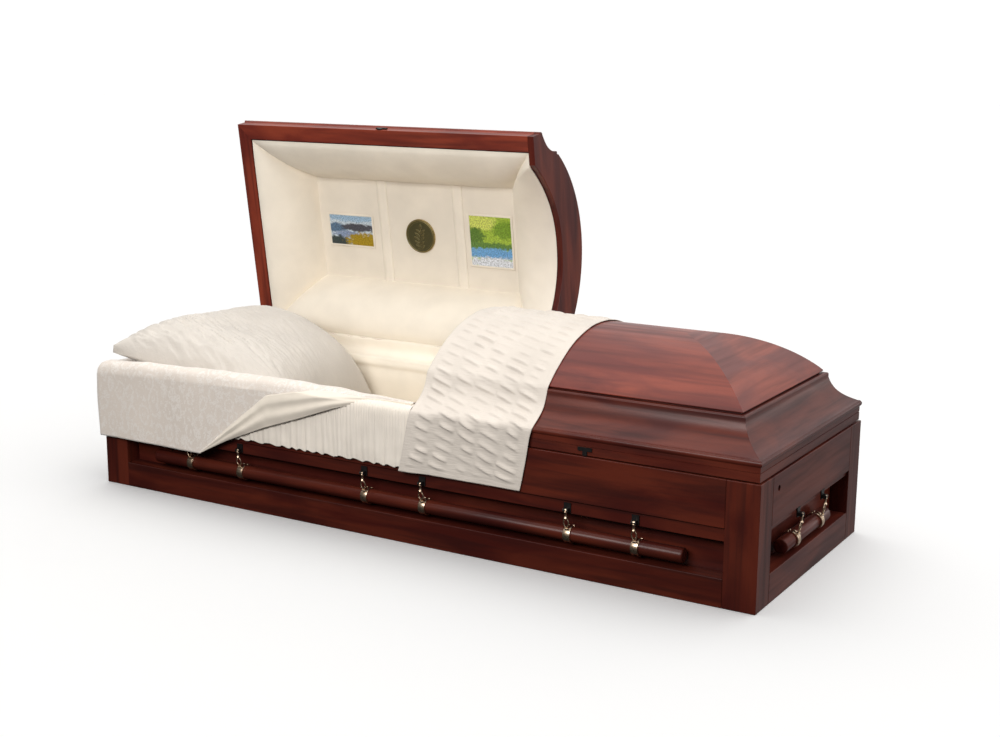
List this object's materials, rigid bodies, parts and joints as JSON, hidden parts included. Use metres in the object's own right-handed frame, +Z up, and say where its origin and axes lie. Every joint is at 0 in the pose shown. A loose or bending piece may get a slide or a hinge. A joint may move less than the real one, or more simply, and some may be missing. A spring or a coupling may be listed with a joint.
{
  "type": "funeral casket",
  "caption": "Panelled hardwood casket with a domed two-part hinged lid, swing-bar handles, padded cloth interior, pillow, throw and quilted runner.",
  "frame": {"origin": "centre of the underside, on the surface it stands on", "axes": "+X along the length towards the foot end, +Y towards the hinged back, +Z up"},
  "size_m": [2.1378, 0.9823, 1.0722],
  "materials": {
    "cherry_wood": "satin-gloss dark cherry stain with soft dark streaks",
    "antique_brass": "antique brass",
    "dark_metal": "near-black satin",
    "cream_cloth": "cream crepe, velvet and satin over padding",
    "picture_card": "printed picture card"
  },
  "bodies": {
    "casket_body": {"floor_board": "cherry_wood", "head_front_post": "cherry_wood", "head_back_post": "cherry_wood", "foot_front_post": "cherry_wood", "foot_back_post": "cherry_wood", "front_top_board": "cherry_wood", "front_sill": "cherry_wood", "front_panel": "cherry_wood", "back_top_board": "cherry_wood", "back_sill": "cherry_wood", "back_panel": "cherry_wood", "head_top_board": "cherry_wood", "head_sill": "cherry_wood", "head_panel": "cherry_wood", "foot_top_board": "cherry_wood", "foot_sill": "cherry_wood", "foot_panel": "cherry_wood", "front_handle_ear_1": "dark_metal", "front_handle_ear_2": "dark_metal", "front_handle_ear_3": "dark_metal", "front_handle_ear_4": "dark_metal", "front_handle_ear_5": "dark_metal", "front_handle_ear_6": "dark_metal", "back_handle_ear_1": "dark_metal", "back_handle_ear_2": "dark_metal", "back_handle_ear_3": "dark_metal", "back_handle_ear_4": "dark_metal", "back_handle_ear_5": "dark_metal", "back_handle_ear_6": "dark_metal", "head_handle_ear_1": "dark_metal", "head_handle_ear_2": "dark_metal", "foot_handle_ear_1": "dark_metal", "foot_handle_ear_2": "dark_metal", "lid_hinge_strip": "dark_metal", "body_lining": "cream_cloth", "mattress": "cream_cloth", "pillow": "cream_cloth", "front_apron": "cream_cloth", "head_throw": "cream_cloth"},
    "head_lid": {"head_lid_front_moulding": "cherry_wood", "head_lid_back_moulding": "cherry_wood", "head_lid_end_moulding": "cherry_wood", "head_lid_crown": "cherry_wood", "head_lid_header": "cherry_wood", "head_lid_catch": "dark_metal", "head_lid_lining": "cream_cloth", "landscape_card": "picture_card", "portrait_card": "picture_card", "medallion": "antique_brass"},
    "foot_lid": {"foot_lid_front_moulding": "cherry_wood", "foot_lid_back_moulding": "cherry_wood", "foot_lid_end_moulding": "cherry_wood", "foot_lid_crown": "cherry_wood", "foot_lid_header": "cherry_wood", "foot_lid_catch": "dark_metal", "foot_runner": "cream_cloth"},
    "front_handle": {"front_handle": "cherry_wood"},
    "back_handle": {"back_handle": "cherry_wood"},
    "head_handle": {"head_handle": "cherry_wood"},
    "foot_handle": {"foot_handle": "cherry_wood"}
  },
  "joints": [
    {"name": "head_lid_hinge", "type": "hinge", "parent": "casket_body", "child": "head_lid", "pos_m": [0, 0.3775, 0.322], "axis": [-1, 0, 0], "range_deg": [-81.5, 0], "deforming": ["pillow", "front_apron", "head_throw"]},
    {"name": "foot_lid_hinge", "type": "hinge", "parent": "casket_body", "child": "foot_lid", "pos_m": [0, 0.3775, 0.322], "axis": [-1, 0, 0], "range_deg": [0, 81.5]},
    {"name": "front_handle_swing", "type": "hinge", "parent": "casket_body", "child": "front_handle", "pos_m": [0, -0.3785, 0.176], "axis": [-1, 0, 0], "range_deg": [0, 80]},
    {"name": "back_handle_swing", "type": "hinge", "parent": "casket_body", "child": "back_handle", "pos_m": [0, 0.3785, 0.176], "axis": [1, 0, 0], "range_deg": [0, 80]},
    {"name": "foot_handle_swing", "type": "hinge", "parent": "casket_body", "child": "foot_handle", "pos_m": [1.059, 0, 0.176], "axis": [0, -1, 0], "range_deg": [0, 80]},
    {"name": "head_handle_swing", "type": "hinge", "parent": "casket_body", "child": "head_handle", "pos_m": [-1.059, 0, 0.176], "axis": [0, 1, 0], "range_deg": [0, 80]}
  ]
}
